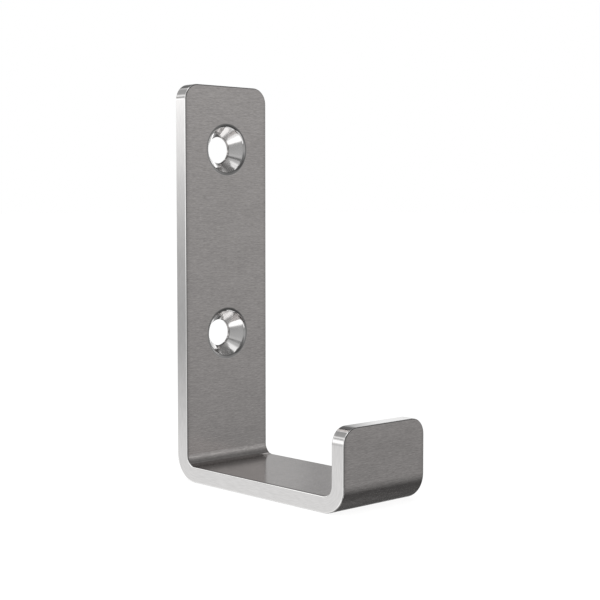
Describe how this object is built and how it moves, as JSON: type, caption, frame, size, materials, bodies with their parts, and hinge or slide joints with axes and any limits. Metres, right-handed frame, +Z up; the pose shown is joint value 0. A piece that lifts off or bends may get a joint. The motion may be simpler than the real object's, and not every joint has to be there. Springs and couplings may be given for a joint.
{
  "type": "hat and coat hook",
  "caption": "Coat hook folded from flat stainless bar: tall plate with countersunk screw holes, level arm and short upturned lip.",
  "frame": {"origin": "on the wall face of the plate, half-way between the screw holes", "axes": "+Z up along the plate, +X across the bar, +Y into the wall, so the arm points along -Y into the room"},
  "size_m": [0.02, 0.045, 0.075],
  "materials": {
    "brushed_stainless": "brushed across the bar, polished in the countersinks"
  },
  "bodies": {
    "root": {"coat_hook": "brushed_stainless"}
  },
  "joints": []
}
